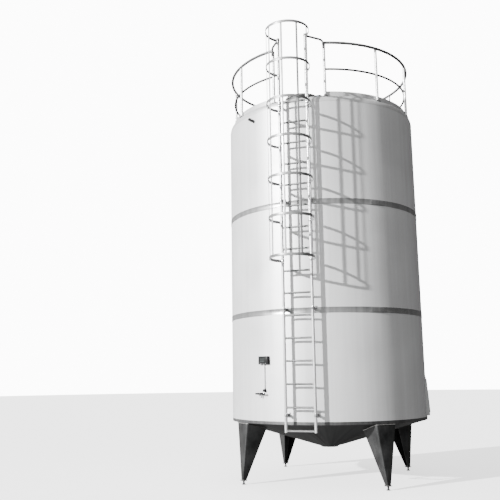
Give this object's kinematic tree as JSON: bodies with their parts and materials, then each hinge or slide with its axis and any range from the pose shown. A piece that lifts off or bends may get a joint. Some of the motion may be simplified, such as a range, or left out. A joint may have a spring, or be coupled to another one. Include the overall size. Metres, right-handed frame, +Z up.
{
  "type": "bulk milk tank",
  "caption": "Tall insulated stainless milk silo on tapering legs, with a caged side ladder, railed roof, roof manway, agitator and bottom outlet.",
  "frame": {"origin": "on the ground, under the middle of the whole object's bounding box", "axes": "+Z up along the tank; the ladder, its cage and the display face -Y; the side cover is on +X"},
  "size_m": [2.9294, 3.5056, 6.26],
  "materials": {
    "cladding": "satin-brushed stainless sheet",
    "trim": "darker brushed stainless band",
    "leg_steel": "folded stainless plate, mill finish, dark",
    "rail_tube": "polished stainless tube",
    "vessel_steel": "2B stainless plate",
    "foam": "rigid polyurethane foam",
    "black_plastic": "matt black",
    "seal_rubber": "food-grade white rubber",
    "motor_paint": "grey-blue enamel",
    "valve_steel": "machined stainless"
  },
  "bodies": {
    "tank": {"inner_vessel": "vessel_steel", "foam_insulation": "foam", "lower_cladding": "cladding", "middle_cladding": "cladding", "upper_cladding": "cladding", "lower_belt": "trim", "upper_belt": "trim", "bottom_trim": "trim", "cone_cover": "leg_steel", "roof_cover": "cladding", "toe_board": "cladding", "top_rail": "rail_tube", "mid_rail": "rail_tube", "ladder": "rail_tube", "cage_bar_left": "rail_tube", "cage_bar_centre": "rail_tube", "cage_bar_right": "rail_tube", "cage_bar_outer_left": "rail_tube", "cage_bar_outer_right": "rail_tube", "manway_neck": "cladding", "display_box": "black_plastic", "temperature_probe": "black_plastic", "sample_valve": "valve_steel", "overflow_port": "trim", "cip_port": "trim", "side_manway_plate": "valve_steel", "agitator_motor": "motor_paint", "outlet_valve": "valve_steel", "post_1": "rail_tube", "post_2": "rail_tube", "post_3": "rail_tube", "post_4": "rail_tube", "post_5": "rail_tube", "post_6": "rail_tube", "post_7": "rail_tube", "post_8": "rail_tube", "post_9": "rail_tube", "post_10": "rail_tube", "hoop_1": "rail_tube", "hoop_2": "rail_tube", "hoop_3": "rail_tube", "hoop_4": "rail_tube", "hoop_5": "rail_tube", "hoop_6": "rail_tube", "hoop_7": "rail_tube", "leg_1": "leg_steel", "leg_2": "leg_steel", "leg_3": "leg_steel", "leg_4": "leg_steel"},
    "lid": {"manway_lid": "cladding", "manway_gasket": "seal_rubber"},
    "lid_knob": {"manway_knob": "black_plastic"},
    "agitator": {"agitator_shaft": "vessel_steel"},
    "sample_handle": {"sample_lever": "black_plastic"},
    "outlet_handle": {"outlet_lever": "valve_steel"},
    "side_cover_door": {"side_cover": "cladding"},
    "foot_1_screw": {"foot_1": "leg_steel"},
    "foot_2_screw": {"foot_2": "leg_steel"},
    "foot_3_screw": {"foot_3": "leg_steel"},
    "foot_4_screw": {"foot_4": "leg_steel"}
  },
  "joints": [
    {"name": "lid_hinge", "type": "hinge", "parent": "tank", "child": "lid", "pos_m": [-0.29331, -0.73665, 5.482], "axis": [0, -1, 0], "range_deg": [0, 100]},
    {"name": "lid_knob_lift", "type": "slide", "parent": "lid", "child": "lid_knob", "axis": [0, 0, 1], "range_m": [0, 0.012]},
    {"name": "agitator_spin", "type": "hinge", "parent": "tank", "child": "agitator", "pos_m": [-0.02531, 0.31335, 0.95], "axis": [0, 0, 1], "continuous": true},
    {"name": "sample_lever_turn", "type": "hinge", "parent": "tank", "child": "sample_handle", "pos_m": [-0.63922, -1.03376, 1.243], "axis": [-0.4147, -0.91, 0], "range_deg": [0, 90]},
    {"name": "outlet_lever_turn", "type": "hinge", "parent": "tank", "child": "outlet_handle", "pos_m": [-0.02531, 0.94375, 0.4925], "axis": [0, 0, 1], "range_deg": [0, 90]},
    {"name": "side_cover_hinge", "type": "hinge", "parent": "tank", "child": "side_cover_door", "pos_m": [1.41078, 0.46429, 1.437], "axis": [0.1045, -0.9945, 0], "range_deg": [0, 100]},
    {"name": "foot_1_thread", "type": "slide", "parent": "tank", "child": "foot_1_screw", "axis": [0, 0, 1], "range_m": [-0.025, 0.03]},
    {"name": "foot_2_thread", "type": "slide", "parent": "tank", "child": "foot_2_screw", "axis": [0, 0, 1], "range_m": [-0.025, 0.03]},
    {"name": "foot_3_thread", "type": "slide", "parent": "tank", "child": "foot_3_screw", "axis": [0, 0, 1], "range_m": [-0.025, 0.03]},
    {"name": "foot_4_thread", "type": "slide", "parent": "tank", "child": "foot_4_screw", "axis": [0, 0, 1], "range_m": [-0.025, 0.03]}
  ]
}
